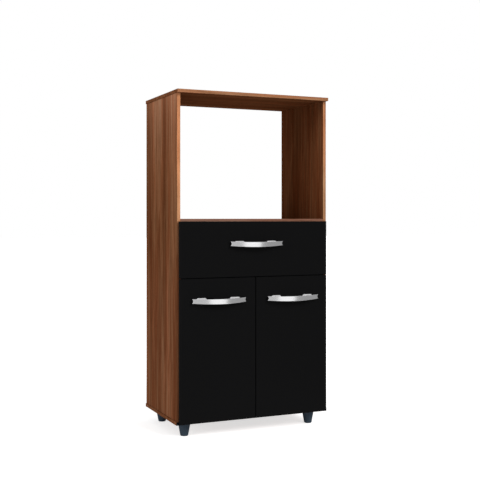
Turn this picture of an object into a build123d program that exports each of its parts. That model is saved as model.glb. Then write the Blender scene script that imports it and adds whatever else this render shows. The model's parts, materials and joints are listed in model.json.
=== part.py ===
from build123d import *
import math
import os

# Microwave cabinet: an open niche over one drawer and two doors, on four feet.
# Millimetres. +Z is up, the fronts face -Y, and the origin is on the floor
# under the middle of the whole cabinet, handles included.

# Carcass
board = 12.0
overall_width = 600.0
side_overhang = 3.0
side_depth = 351.0
side_height = 1155.0
foot_height = 51.0
back_thickness = 3.0
back_margin = 4.0
rail_depth = 60.0

# Fronts
front_gap = 1.5
front_inset = 5.5
meeting_gap = 3.0
door_base_reveal = 5.0
door_height = 508.0
drawer_front_height = 199.0
niche_shelf_reveal = 9.0

# Loose shelf behind the doors
shelf_side_clearance = 1.0
shelf_front_setback = 12.0
shelf_back_setback = 6.0
pin_radius = 2.5
pin_depth = 8.0
pin_length = 18.0
pin_front_setback = 50.0

# Feet
foot_top_radius = 22.8
foot_bottom_radius = 13.9
foot_bottom_round = 3.0
foot_rim = 4.0
foot_bore_radius = 5.5
foot_web = 12.0
foot_side_inset = 50.0
foot_front_inset = 56.0
foot_back_inset = 49.0

# Handles
handle_length = 208.0
handle_reach = 28.0
handle_end_reach = 12.0
handle_thickness = 4.0
handle_hole_spacing = 128.0
handle_end_top = 9.2
handle_end_bottom = 6.2
handle_middle_top = 7.0
handle_middle_bottom = 10.8
handle_notch = 4.0
post_width = 41.0
post_tip_width = 26.0
post_top = 10.4
post_bottom = 6.5
post_corner = 5.0
post_narrowing = 6.0
drawer_handle_drop = 81.0
door_handle_drop = 79.0

# Screws, dowels, cams and nails
screw_radius = 2.0
screw_head_radius = 4.0
screw_head_depth = 2.4
panel_screw_length = 45.0
screw_setback = 60.0
screw_back_setback = 61.0
cap_radius = 6.5
cap_thickness = 0.5
dowel_radius = 3.0
dowel_length = 30.0
dowel_board_depth = 8.0
dowel_setback = 110.0
cam_radius = 6.0
cam_depth = 9.5
cam_distance = 24.0
cam_slot_length = 9.0
cam_slot_width = 1.4
cam_slot_depth = 1.6
cam_throat_length = 8.4
bolt_radius = 2.5
bolt_neck_radius = 1.6
bolt_collar = 2.0
bolt_head_depth = 2.5
cam_throat_clearance = 0.2
bolt_board_depth = 8.0
rail_bolt_setback = 18.0
rail_dowel_setback = 42.0
nail_radius = 0.8
nail_head_radius = 2.0
nail_head_depth = 0.5
nail_length = 16.0
nails_per_side = 4
foot_screw_length = 22.0
handle_screw_radius = 2.0
handle_screw_bite = 9.0
pan_head_radius = 4.0
pan_head_depth = 2.2
pan_crown_radius = 2.4
pan_rim_depth = 0.9

# Drawer box
runner_space = 12.5
drawer_box_height = 120.0
drawer_box_depth = 300.0
drawer_box_lift = 18.0
groove_depth = 5.0
groove_lift = 8.0
drawer_bottom_thickness = 3.0
groove_side_clearance = 0.3
drawer_cam_lift = 50.0
drawer_cam_pitch = 45.0
drawer_back_screw_length = 35.0
drawer_back_screw_radius = 1.8
drawer_back_screw_head = 3.5
drawer_nail_pitch = 182.0

# Roller runners
runner_front_setback = 2.0
runner_sheet = 1.2
channel_height = 24.0
channel_width = 10.4
channel_lip = 4.0
channel_mouth = 30.0
roller_radius = 10.0
roller_edge = 0.6
roller_width = 6.2
roller_bore_clearance = 0.05
rolling_clearance = 0.05
rivet_radius = 2.5
rivet_head_radius = 4.0
rivet_head = 1.0
roller_side_clearance = 0.2
front_roller_inset = 14.0
rear_roller_inset = 12.0
front_roller_height = 15.5
drawer_flange_width = 9.3
runner_foot_lift = 4.0
runner_start = 1.0
runner_screw_length = 12.0
runner_screw_radius = 1.6
runner_screw_head = 3.0
runner_screw_edge = 4.5
cabinet_runner_shares = (0.16, 0.5, 0.9)
drawer_runner_shares = (0.1, 0.5, 0.85)

# Concealed cup hinges
cup_radius = 13.0
cup_depth = 10.0
cup_wall = 0.6
cup_edge_distance = 3.5
cup_end_distance = 80.0
wing_width = 14.0
wing_screw_edge = 5.0
plate_corner = 2.0
wing_thickness = 1.0
wing_screw_pitch = 19.0
wing_screw_length = 9.0
arm_pivot_edge = 6.8
arm_pivot_depth = 7.0
cup_pivot_edge = 23.2
cup_pivot_depth = 3.2
link_eye_radius = 1.7
nose_eye_radius = 1.9
hinge_pin_radius = 1.0
hinge_pin_clearance = 0.05
nose_half_height = 1.6
link_layer_gap = 0.2
link_sheet = 1.0
arm_crank_height = 9.2
arm_crank_back = 3.5
arm_crank_front = 8.4
arm_neck_offset = 4.2
arm_neck_front = 4.8
arm_half_height = 6.0
arm_height = 5.5
arm_length = 50.0
arm_front = 6.0
arm_overlap = 2.0
plate_thickness = 3.0
plate_half_height = 8.0
plate_wing_half_height = 23.0
plate_front_setback = 18.0
plate_length = 36.0
plate_wing_width = 14.0
plate_screw_pitch = 16.0
plate_screw_length = 10.0

# Heights
base_top = foot_height + board
side_top = base_top + side_height
top_surface = side_top + board
door_bottom = foot_height + door_base_reveal
door_top = door_bottom + door_height
drawer_front_bottom = door_top + meeting_gap
drawer_front_top = drawer_front_bottom + drawer_front_height
niche_floor = drawer_front_top + niche_shelf_reveal
niche_shelf_bottom = niche_floor - board
rail_height = door_top + meeting_gap / 2 - board / 2
shelf_height = (base_top + rail_height - board) / 2
drawer_box_bottom = drawer_front_bottom + drawer_box_lift

# Depths, from the back of the back panel to the outside of the handles
overall_depth = back_thickness + side_depth + front_gap + board + handle_reach
carcass_back = overall_depth / 2 - back_thickness
carcass_front = carcass_back - side_depth
front_back_face = carcass_front - front_gap
front_face = front_back_face - board

# Widths, from the middle to the right
side_outer = overall_width / 2 - side_overhang
side_inner = side_outer - board
front_half_width = side_outer - front_inset
box_outer = side_inner - runner_space
box_inner = box_outer - board


def disc_sketch(plane: Plane, points: list, radius: float) -> Sketch:
    """Circles of one radius at points of a plane."""
    with BuildSketch(plane) as discs:
        with Locations(*points):
            Circle(radius)
    return discs.sketch


def turned(points: list) -> Part:
    """A closed profile of (radius, height) points turned about Z."""
    with BuildPart() as body:
        with BuildSketch(Plane.XZ):
            with BuildLine():
                Polyline(*points, close=True)
            make_face()
        revolve(axis=Axis.Z)
    return body.part


def countersunk_screw(length: float, radius: float, head_radius: float, head_depth: float) -> Part:
    """A wood screw pointing down -Z, its flat head at the origin."""
    tip = 1.5 * radius
    return turned([(0, 0), (head_radius, 0), (radius, -head_depth), (radius, tip - length), (0, -length)])


def pan_screw(length: float, radius: float) -> Part:
    """A round-headed screw pointing down -Z, its head seated on the origin."""
    tip = 0.5 * radius
    return turned([
        (0, pan_head_depth), (pan_crown_radius, pan_head_depth), (pan_head_radius, pan_rim_depth),
        (pan_head_radius, 0), (radius, 0), (radius, tip - length), (radius - tip, -length), (0, -length),
    ])


def nail() -> Part:
    """A wire nail pointing down -Z, its flat head at the origin."""
    return turned([
        (0, 0), (nail_head_radius, 0), (nail_head_radius, -nail_head_depth), (nail_radius, -nail_head_depth),
        (nail_radius, 2 * nail_radius - nail_length), (0, -nail_length),
    ])


def dowel() -> Part:
    """A wooden dowel along +Z from the bottom of its board hole."""
    return turned([(0, 0), (dowel_radius, 0), (dowel_radius, dowel_length), (0, dowel_length)])


def cam_bolt(reach: float) -> Part:
    """A cam bolt along +Z: thread below the origin, neck and head above it."""
    neck = bolt_collar + bolt_radius - bolt_neck_radius
    return turned([
        (0, -bolt_board_depth), (bolt_radius, -bolt_board_depth), (bolt_radius, bolt_collar),
        (bolt_neck_radius, neck), (bolt_neck_radius, reach - bolt_head_depth),
        (bolt_radius, reach - bolt_head_depth), (bolt_radius, reach), (0, reach),
    ])


def cam() -> Part:
    """A cam disc under the origin plane with a cross slot and a throat for the bolt's head."""
    with BuildPart() as disc:
        with BuildSketch():
            Circle(cam_radius)
        extrude(amount=-cam_depth)
        with BuildSketch():
            Rectangle(cam_slot_length, cam_slot_width)
            Rectangle(cam_slot_width, cam_slot_length)
        extrude(amount=-cam_slot_depth, mode=Mode.SUBTRACT)
        with BuildSketch(Plane.XY.offset(-board / 2)):
            with Locations((-cam_radius / 2, 0)):
                Rectangle(cam_throat_length, 2 * (bolt_radius + cam_throat_clearance))
        extrude(amount=bolt_radius + cam_throat_clearance, both=True, mode=Mode.SUBTRACT)
    return disc.part


def placed(shape: Part, planes: list) -> Part:
    """One copy of a piece in each plane, as separate solids."""
    with BuildPart() as group:
        with Locations(*planes):
            add(shape)
    return group.part


def both_sides(shape: Part) -> Part:
    """A right-hand group with its mirror image on the left."""
    with BuildPart() as pair:
        add(shape)
        mirror(shape, about=Plane.YZ)
    return pair.part


def facing_down(x: float, y: float, z: float) -> Plane:
    """A plane whose -Z points down, for a screw driven from above."""
    return Plane(origin=(x, y, z), z_dir=(0, 0, 1))


def facing_up(x: float, y: float, z: float) -> Plane:
    """A plane whose -Z points up, for a screw driven from below."""
    return Plane(origin=(x, y, z), x_dir=(1, 0, 0), z_dir=(0, 0, -1))


def facing_out(x: float, y: float, z: float) -> Plane:
    """A plane whose -Z points to +X, for a screw driven outwards into the right side."""
    return Plane(origin=(x, y, z), x_dir=(0, 1, 0), z_dir=(-1, 0, 0))


def facing_in(x: float, y: float, z: float) -> Plane:
    """A plane whose -Z points to -X, for a screw driven inwards through a right-hand board."""
    return Plane(origin=(x, y, z), x_dir=(0, 1, 0), z_dir=(1, 0, 0))


def facing_front(x: float, y: float, z: float) -> Plane:
    """A plane whose -Z points to -Y."""
    return Plane(origin=(x, y, z), x_dir=(1, 0, 0), z_dir=(0, 1, 0))


# Fasteners of the carcass, on the right; the left ones are their mirror image
side_middle = side_inner + board / 2
screw_rows = [carcass_front + screw_setback, carcass_back - screw_back_setback]
dowel_rows = [carcass_front + dowel_setback, carcass_back - dowel_setback]
shelf_middle = niche_shelf_bottom + board / 2
rail_middle = rail_height + board / 2

panel_screw = countersunk_screw(panel_screw_length, screw_radius, screw_head_radius, screw_head_depth)
screw_planes = []
cap_planes = []
for row in screw_rows:
    screw_planes.append(facing_down(side_middle, row, top_surface))
    screw_planes.append(facing_up(side_middle, row, foot_height))
    cap_planes.append(facing_down(side_middle, row, top_surface))
with BuildPart() as panel_screws:
    add(both_sides(placed(panel_screw, screw_planes)))

cap = turned([
    (0, 0), (cap_radius, 0), (cap_radius - cap_thickness, cap_thickness), (0, cap_thickness),
])
with BuildPart() as top_screw_caps:
    add(both_sides(placed(cap, cap_planes)))

dowel_planes = []
for row in dowel_rows:
    dowel_planes.append(facing_up(side_middle, row, side_top + dowel_board_depth))
    dowel_planes.append(facing_down(side_middle, row, base_top - dowel_board_depth))
    dowel_planes.append(facing_out(side_inner + dowel_board_depth, row, shelf_middle))
rail_dowel_y = carcass_front + rail_dowel_setback
dowel_planes.append(facing_out(side_inner + dowel_board_depth, rail_dowel_y, rail_middle))
with BuildPart() as dowels:
    add(both_sides(placed(dowel(), dowel_planes)))

bolt_places = [(row, shelf_middle) for row in screw_rows]
bolt_places.append((carcass_front + rail_bolt_setback, rail_middle))
bolt_planes = [facing_out(side_inner, row, height) for row, height in bolt_places]
with BuildPart() as cam_bolts:
    add(both_sides(placed(cam_bolt(cam_distance), bolt_planes)))

cam_planes = []
for row, height in bolt_places:
    under = height - board / 2
    cam_planes.append(
        Plane(origin=(side_inner - cam_distance, row, under), x_dir=(-1, 0, 0), z_dir=(0, 0, -1))
    )
with BuildPart() as cams:
    add(both_sides(placed(cam(), cam_planes)))
cam_pockets = both_sides(placed(
    extrude(disc_sketch(Plane.XY, [(0, 0)], cam_radius), amount=-cam_depth), cam_planes
))
bolt_bores = placed(
    extrude(disc_sketch(Plane.XY, [(0, 0)], bolt_radius), amount=cam_distance), bolt_planes
)

# Feet, with the screw that comes up through each one
foot_places = [
    ("front_left_foot", foot_side_inset - overall_width / 2, carcass_front + foot_front_inset),
    ("front_right_foot", overall_width / 2 - foot_side_inset, carcass_front + foot_front_inset),
    ("rear_left_foot", foot_side_inset - overall_width / 2, carcass_back - foot_back_inset),
    ("rear_right_foot", overall_width / 2 - foot_side_inset, carcass_back - foot_back_inset),
]
foot_ledge = foot_height - foot_web
foot_screw = pan_screw(foot_screw_length, screw_radius)
with BuildPart() as foot_screws:
    with Locations(*[facing_up(x, y, foot_ledge) for _, x, y in foot_places]):
        add(foot_screw)

feet = []
for name, x, y in foot_places:
    with BuildPart() as foot:
        with BuildSketch(Plane.XZ):
            with BuildLine():
                Polyline(
                    (foot_bore_radius, 0), (foot_bottom_radius, 0), (foot_top_radius, foot_height - foot_rim),
                    (foot_top_radius, foot_height), (0, foot_height), (0, foot_ledge),
                    (foot_bore_radius, foot_ledge), close=True,
                )
            make_face()
        revolve(axis=Axis.Z)
        outer_bottom = foot.edges().filter_by(GeomType.CIRCLE).group_by(Axis.Z)[0].sort_by(SortBy.RADIUS)[-1]
        fillet(outer_bottom, foot_bottom_round)
    with BuildPart() as standing_foot:
        with Locations((x, y, 0)):
            add(foot.part)
        add(foot_screws.part, mode=Mode.SUBTRACT)
    standing_foot.part.label = name
    feet.append(standing_foot.part)

# Back panel and its nails
nail_pitch = (niche_shelf_bottom - base_top) / nails_per_side
nail_rows = [base_top + nail_pitch * (count + 0.5) for count in range(nails_per_side)]
nail_planes = [facing_front(side_middle, carcass_back + back_thickness, height) for height in nail_rows]
nail_planes.append(facing_front(side_inner / 2, carcass_back + back_thickness, shelf_middle))
nail_planes.append(facing_front(side_inner / 2, carcass_back + back_thickness, foot_height + board / 2))
with BuildPart() as back_panel_nails:
    add(both_sides(placed(nail(), nail_planes)))

with BuildPart() as back_panel:
    with BuildSketch(Plane.XZ.offset(-carcass_back)):
        with Locations((0, (foot_height + niche_floor) / 2)):
            Rectangle(2 * (side_outer - back_margin), niche_floor - foot_height - 2 * back_margin)
    extrude(amount=-back_thickness)
    add(back_panel_nails.part, mode=Mode.SUBTRACT)

# Top and bottom panels: both lie across the ends of the sides
with BuildPart() as top_panel:
    with BuildSketch(Plane.XY.offset(side_top)):
        with Locations((0, (front_face + carcass_back) / 2)):
            Rectangle(overall_width, carcass_back - front_face)
    extrude(amount=board)
    add(panel_screws.part, mode=Mode.SUBTRACT)
    add(dowels.part, mode=Mode.SUBTRACT)

with BuildPart() as bottom_panel:
    with BuildSketch(Plane.XY.offset(foot_height)):
        with Locations((0, (carcass_front + carcass_back) / 2)):
            Rectangle(overall_width, side_depth)
    extrude(amount=board)
    add(panel_screws.part, mode=Mode.SUBTRACT)
    add(dowels.part, mode=Mode.SUBTRACT)
    add(foot_screws.part, mode=Mode.SUBTRACT)
    add(back_panel_nails.part, mode=Mode.SUBTRACT)

# Fixed shelf under the niche, and the rail behind the joint of drawer and doors
with BuildPart() as niche_shelf:
    with BuildSketch(Plane.XY.offset(niche_shelf_bottom)):
        with Locations((0, (carcass_front + carcass_back) / 2)):
            Rectangle(2 * side_inner, side_depth)
    extrude(amount=board)
    add(dowels.part, mode=Mode.SUBTRACT)
    add(cam_pockets, mode=Mode.SUBTRACT)
    add(both_sides(bolt_bores), mode=Mode.SUBTRACT)
    add(back_panel_nails.part, mode=Mode.SUBTRACT)

with BuildPart() as front_rail:
    with BuildSketch(Plane.XY.offset(rail_height)):
        with Locations((0, carcass_front + rail_depth / 2)):
            Rectangle(2 * side_inner, rail_depth)
    extrude(amount=board)
    add(dowels.part, mode=Mode.SUBTRACT)
    add(cam_pockets, mode=Mode.SUBTRACT)
    add(both_sides(bolt_bores), mode=Mode.SUBTRACT)

# Loose shelf on four pins
pin_rows = [carcass_front + pin_front_setback, carcass_back - pin_front_setback]
pin_reach = pin_length - pin_depth
shelf_pin = turned([
    (0, -pin_depth), (pin_radius, -pin_depth), (pin_radius, pin_reach), (0, pin_reach),
])
pin_planes = [facing_out(side_inner, row, shelf_height - pin_radius) for row in pin_rows]
with BuildPart() as shelf_pins:
    add(both_sides(placed(shelf_pin, pin_planes)))

with BuildPart() as inner_shelf:
    shelf_front = carcass_front + shelf_front_setback
    shelf_back = carcass_back - shelf_back_setback
    with BuildSketch(Plane.XY.offset(shelf_height)):
        with Locations((0, (shelf_front + shelf_back) / 2)):
            Rectangle(2 * (side_inner - shelf_side_clearance), shelf_back - shelf_front)
    extrude(amount=board)

# Roller runners, right-hand: u runs from the side's inner face towards the drawer, w up from the channel
channel_bottom = drawer_box_bottom - runner_foot_lift
runner_front = carcass_front + runner_front_setback
channel_plane = Plane(origin=(side_inner, runner_front, channel_bottom), x_dir=(-1, 0, 0), z_dir=(0, 1, 0))
front_roller_y = runner_front + front_roller_inset
rear_roller_y = front_back_face + drawer_box_depth - rear_roller_inset
front_roller_z = channel_bottom + front_roller_height
rear_roller_z = channel_bottom + runner_sheet + roller_radius + rolling_clearance
flange_bottom = front_roller_height + roller_radius + rolling_clearance
flange_top = flange_bottom + runner_sheet
roller_start = runner_sheet + rivet_head + 3 * roller_side_clearance
roller_end = roller_start + roller_width
web_face = runner_space - runner_sheet

runner_screw = countersunk_screw(
    runner_screw_length, runner_screw_radius, runner_screw_head, runner_screw_head - runner_screw_radius
)
runner_screw_rows = [runner_front + drawer_box_depth * share for share in cabinet_runner_shares]
channel_middle = channel_bottom + channel_height / 2
runner_screw_planes = [
    facing_out(side_inner - runner_sheet, row, channel_middle) for row in runner_screw_rows
]
with BuildPart() as runner_screws:
    add(both_sides(placed(runner_screw, runner_screw_planes)))

cabinet_rivet = turned([
    (0, 0), (rivet_radius, 0), (rivet_radius, roller_end + roller_side_clearance),
    (rivet_head_radius, roller_end + roller_side_clearance),
    (rivet_head_radius, roller_end + roller_side_clearance + rivet_head),
    (0, roller_end + roller_side_clearance + rivet_head),
])
with BuildPart() as cabinet_rivets:
    add(both_sides(placed(cabinet_rivet, [facing_out(side_inner, front_roller_y, front_roller_z)])))

roller = turned([
    (rivet_radius + roller_bore_clearance, 0), (roller_radius - roller_edge, 0), (roller_radius, roller_edge),
    (roller_radius, roller_width - roller_edge), (roller_radius - roller_edge, roller_width),
    (rivet_radius + roller_bore_clearance, roller_width),
])
with BuildPart() as cabinet_rollers:
    add(both_sides(placed(roller, [facing_out(side_inner - roller_start, front_roller_y, front_roller_z)])))
with BuildPart() as drawer_rollers:
    add(both_sides(placed(roller, [facing_out(side_inner - roller_start, rear_roller_y, rear_roller_z)])))

with BuildPart() as right_cabinet_runner:
    with BuildSketch(channel_plane):
        with BuildLine():
            Polyline(
                (0, 0), (channel_width, 0), (channel_width, channel_lip),
                (channel_width - runner_sheet, channel_lip),
                (channel_width - runner_sheet, runner_sheet), (runner_sheet, runner_sheet),
                (runner_sheet, channel_height - runner_sheet), (channel_width, channel_height - runner_sheet),
                (channel_width, channel_height), (0, channel_height), close=True,
            )
        make_face()
    extrude(amount=drawer_box_depth)
    with BuildSketch(channel_plane):
        with Locations((runner_sheet + channel_width / 2, channel_height)):
            Rectangle(channel_width, 4 * runner_sheet)
    extrude(amount=channel_mouth, mode=Mode.SUBTRACT)
    add(runner_screws.part, mode=Mode.SUBTRACT)
    add(cabinet_rivets.part, mode=Mode.SUBTRACT)
with BuildPart() as left_cabinet_runner:
    mirror(right_cabinet_runner.part, about=Plane.YZ)

# Drawer box
box_front = front_back_face
box_back = box_front + drawer_box_depth
box_top = drawer_box_bottom + drawer_box_height
groove_bottom = drawer_box_bottom + groove_lift
groove_top = groove_bottom + drawer_bottom_thickness
cam_heights = [drawer_box_bottom + drawer_cam_lift, drawer_box_bottom + drawer_cam_lift + drawer_cam_pitch]
box_side_middle = box_inner + board / 2

drawer_bolt_planes = [facing_front(box_side_middle, box_front, height) for height in cam_heights]
with BuildPart() as drawer_cam_bolts:
    add(both_sides(placed(cam_bolt(cam_distance), drawer_bolt_planes)))
drawer_cam_planes = [
    Plane(origin=(box_outer, box_front + cam_distance, height), x_dir=(0, 1, 0), z_dir=(1, 0, 0))
    for height in cam_heights
]
with BuildPart() as drawer_cams:
    add(both_sides(placed(cam(), drawer_cam_planes)))

back_screw = countersunk_screw(
    drawer_back_screw_length, drawer_back_screw_radius, drawer_back_screw_head,
    drawer_back_screw_head - drawer_back_screw_radius,
)
back_screw_planes = [facing_in(box_outer, box_back - board / 2, height) for height in cam_heights]
with BuildPart() as drawer_back_screws:
    add(both_sides(placed(back_screw, back_screw_planes)))

bottom_nail_planes = [
    facing_up(x, box_back - board / 2, groove_bottom) for x in (0.0, drawer_nail_pitch)
]
with BuildPart() as drawer_bottom_nails:
    add(both_sides(placed(nail(), bottom_nail_planes)))

flange_start = web_face - drawer_flange_width
drawer_rivet_reach = runner_space - roller_start + roller_side_clearance
foot_end = runner_space + board
drawer_runner_plane = Plane(
    origin=(side_inner, box_front + runner_start, channel_bottom), x_dir=(-1, 0, 0), z_dir=(0, 1, 0)
)
drawer_rivet = turned([
    (0, 0), (rivet_radius, 0), (rivet_radius, drawer_rivet_reach), (rivet_head_radius, drawer_rivet_reach),
    (rivet_head_radius, drawer_rivet_reach + rivet_head), (0, drawer_rivet_reach + rivet_head),
])
with BuildPart() as drawer_rivets:
    add(both_sides(placed(drawer_rivet, [facing_in(box_outer, rear_roller_y, rear_roller_z)])))

drawer_runner_rows = [box_front + drawer_box_depth * share for share in drawer_runner_shares]
drawer_runner_under = drawer_box_bottom - runner_sheet
drawer_runner_screw_planes = [
    facing_up(box_outer - runner_screw_edge, row, drawer_runner_under) for row in drawer_runner_rows
]
with BuildPart() as drawer_runner_screws:
    add(both_sides(placed(runner_screw, drawer_runner_screw_planes)))

with BuildPart() as right_drawer_runner:
    with BuildSketch(drawer_runner_plane):
        with BuildLine():
            Polyline(
                (flange_start, flange_bottom), (web_face, flange_bottom),
                (web_face, runner_foot_lift - runner_sheet), (foot_end, runner_foot_lift - runner_sheet),
                (foot_end, runner_foot_lift), (runner_space, runner_foot_lift),
                (runner_space, flange_top), (flange_start, flange_top), close=True,
            )
        make_face()
    extrude(amount=drawer_box_depth - runner_start)
    add(drawer_runner_screws.part, mode=Mode.SUBTRACT)
    add(drawer_rivets.part, mode=Mode.SUBTRACT)
with BuildPart() as left_drawer_runner:
    mirror(right_drawer_runner.part, about=Plane.YZ)

with BuildPart() as drawer_bottom:
    with BuildSketch(Plane.XY.offset(groove_bottom)):
        with Locations((0, (box_front - groove_depth + groove_side_clearance + box_back) / 2)):
            Rectangle(
                2 * (box_inner + groove_depth - groove_side_clearance),
                drawer_box_depth + groove_depth - groove_side_clearance,
            )
    extrude(amount=drawer_bottom_thickness)
    add(drawer_bottom_nails.part, mode=Mode.SUBTRACT)

with BuildPart() as drawer_back:
    with BuildSketch(Plane.XY.offset(groove_top)):
        with Locations((0, box_back - board / 2)):
            Rectangle(2 * box_inner, board)
    extrude(amount=box_top - groove_top)
    add(drawer_back_screws.part, mode=Mode.SUBTRACT)
    add(drawer_bottom_nails.part, mode=Mode.SUBTRACT)

drawer_bolt_bores = placed(
    extrude(disc_sketch(Plane.XY, [(0, 0)], bolt_radius), amount=cam_distance), drawer_bolt_planes
)
drawer_cam_pockets = placed(
    extrude(disc_sketch(Plane.XY, [(0, 0)], cam_radius), amount=-cam_depth), drawer_cam_planes
)
with BuildPart() as drawer_right_side:
    with BuildSketch(Plane.YZ.offset(box_inner)):
        with Locations(((box_front + box_back) / 2, (drawer_box_bottom + box_top) / 2)):
            Rectangle(drawer_box_depth, drawer_box_height)
    extrude(amount=board)
    with BuildSketch(Plane.YZ.offset(box_inner)):
        with Locations(((box_front + box_back) / 2, (groove_bottom + groove_top) / 2)):
            Rectangle(drawer_box_depth, drawer_bottom_thickness)
    extrude(amount=groove_depth, mode=Mode.SUBTRACT)
    add(drawer_bolt_bores, mode=Mode.SUBTRACT)
    add(drawer_cam_pockets, mode=Mode.SUBTRACT)
    add(drawer_back_screws.part, mode=Mode.SUBTRACT)
    add(drawer_runner_screws.part, mode=Mode.SUBTRACT)
with BuildPart() as drawer_left_side:
    mirror(drawer_right_side.part, about=Plane.YZ)


# Handles: a bowed ribbon with notched ends on two posts
def handle_at(x: float, z: float) -> Part:
    """A handle on the fronts' outer face, centred on x, its screws at height z."""
    plan = Plane(origin=(x, front_face, z), x_dir=(1, 0, 0), z_dir=(0, 0, 1))
    half = handle_length / 2
    hole = handle_hole_spacing / 2
    tall = 2 * (post_top + handle_middle_bottom)
    with BuildPart() as handle:
        with BuildSketch(plan):
            with BuildLine():
                outer = ThreePointArc(
                    (-half, -handle_end_reach), (0, -handle_reach), (half, -handle_end_reach)
                )
                Line(outer @ 1, (half, handle_thickness - handle_end_reach))
                ThreePointArc(
                    (half, handle_thickness - handle_end_reach), (0, handle_thickness - handle_reach),
                    (-half, handle_thickness - handle_end_reach),
                )
                Line((-half, handle_thickness - handle_end_reach), outer @ 0)
            make_face()
        extrude(amount=tall, both=True)
        with BuildSketch(Plane(origin=(x, front_face, z), x_dir=(1, 0, 0), z_dir=(0, -1, 0))):
            with BuildLine():
                top = ThreePointArc((-half, handle_end_top), (0, handle_middle_top), (half, handle_end_top))
                ThreePointArc(
                    top @ 1, (half - handle_notch, (handle_end_top - handle_end_bottom) / 2),
                    (half, -handle_end_bottom),
                )
                bottom = ThreePointArc(
                    (half, -handle_end_bottom), (0, -handle_middle_bottom), (-half, -handle_end_bottom)
                )
                ThreePointArc(
                    bottom @ 1, (handle_notch - half, (handle_end_top - handle_end_bottom) / 2), top @ 0
                )
            make_face()
        extrude(amount=2 * handle_reach, mode=Mode.INTERSECT)
        bow = handle.part
    rise = handle_reach - handle_end_reach
    outer_radius = (half**2 + rise**2) / (2 * rise)
    post_reach = handle_reach - outer_radius + math.sqrt(outer_radius**2 - hole**2) - handle_thickness / 2
    with BuildPart() as posts:
        for side in (-1, 1):
            base = Plane(origin=(x + side * hole, front_face, z), x_dir=(1, 0, 0), z_dir=(0, -1, 0))
            tall_middle = (post_top - post_bottom) / 2
            with BuildSketch(base) as foot_outline:
                with Locations((0, tall_middle)):
                    Rectangle(post_width, post_top + post_bottom)
                chamfer(foot_outline.vertices().group_by(Axis.Z)[-1], post_corner)
            with BuildSketch(base.offset(post_reach)) as tip_outline:
                with Locations((0, tall_middle - post_narrowing / 2)):
                    Rectangle(post_tip_width, post_top + post_bottom - post_narrowing)
                chamfer(tip_outline.vertices().group_by(Axis.Z)[-1], post_corner / 2)
            loft()
    with BuildPart() as whole:
        add(bow)
        add(posts.part)
        add(handle_screws_at(x, z), mode=Mode.SUBTRACT)
    return whole.part


def handle_screws_at(x: float, z: float) -> Part:
    """The two screws that come through a front from behind into a handle's posts."""
    screw = pan_screw(board + handle_screw_bite, handle_screw_radius)
    hole = handle_hole_spacing / 2
    planes = [facing_front(x + side * hole, front_back_face, z) for side in (-1, 1)]
    return placed(screw, planes)


drawer_handle_z = drawer_front_top - drawer_handle_drop
door_handle_z = door_top - door_handle_drop
door_middle = (meeting_gap / 2 + front_half_width) / 2

drawer_handle_screws = handle_screws_at(0, drawer_handle_z)
right_handle_screws = handle_screws_at(door_middle, door_handle_z)
drawer_handle = handle_at(0, drawer_handle_z)
right_door_handle = handle_at(door_middle, door_handle_z)

with BuildPart() as drawer_front:
    with BuildSketch(Plane.XZ.offset(-front_back_face)):
        with Locations((0, (drawer_front_bottom + drawer_front_top) / 2)):
            Rectangle(2 * front_half_width, drawer_front_height)
    extrude(amount=board)
    with BuildSketch(Plane.XZ.offset(-front_back_face)):
        with Locations((0, (groove_bottom + groove_top) / 2)):
            Rectangle(2 * (box_inner + groove_depth), drawer_bottom_thickness)
    extrude(amount=groove_depth, mode=Mode.SUBTRACT)
    add(drawer_cam_bolts.part, mode=Mode.SUBTRACT)
    add(drawer_handle_screws, mode=Mode.SUBTRACT)

# Concealed hinges, right-hand: s runs from the door's outer edge inwards, y back from the door's back face
hinge_heights = [door_bottom + cup_end_distance, door_top - cup_end_distance]
cup_centre = cup_edge_distance + cup_radius
wing_reach = wing_screw_pitch + wing_screw_edge
side_face = front_half_width - side_inner


def hinge_plane(z: float) -> Plane:
    """The plane of a hinge's links: x towards the middle of the cabinet, y towards its back."""
    return Plane(origin=(front_half_width, front_back_face, z), x_dir=(-1, 0, 0), z_dir=(0, 0, -1))


def cup_plane(z: float) -> Plane:
    """The door's back face at a cup's centre, facing the back."""
    return Plane(origin=(front_half_width - cup_centre, front_back_face, z), x_dir=(1, 0, 0), z_dir=(0, 1, 0))


wing_screw = pan_screw(wing_screw_length + wing_thickness, runner_screw_radius)
wing_planes = []
for height in hinge_heights:
    for pitch in (-wing_screw_pitch, wing_screw_pitch):
        wing_planes.append(
            facing_front(front_half_width - cup_centre, front_back_face + wing_thickness, height + pitch)
        )
right_cup_screws = placed(wing_screw, wing_planes)

with BuildPart() as right_hinge_cups:
    for height in hinge_heights:
        mouth = cup_plane(height)
        with BuildSketch(mouth):
            Circle(cup_radius)
        extrude(amount=-cup_depth)
        with BuildSketch(mouth):
            Circle(cup_radius - cup_wall)
        extrude(amount=-(cup_depth - cup_wall), mode=Mode.SUBTRACT)
        for side in (-1, 1):
            wing_middle = (cup_radius - cup_wall + wing_reach) / 2
            with BuildSketch(mouth):
                with Locations((0, side * wing_middle)):
                    RectangleRounded(wing_width, wing_reach - cup_radius + cup_wall, plate_corner)
            extrude(amount=wing_thickness)
        pivot = hinge_plane(height)
        pin_side = cup_pivot_edge - cup_centre + hinge_pin_radius
        pin_half = math.sqrt(cup_radius**2 - pin_side**2) - hinge_pin_clearance
        with BuildSketch(pivot):
            with Locations((cup_pivot_edge, -cup_pivot_depth)):
                Circle(hinge_pin_radius)
        extrude(amount=pin_half, both=True)
    add(right_cup_screws, mode=Mode.SUBTRACT)

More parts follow.
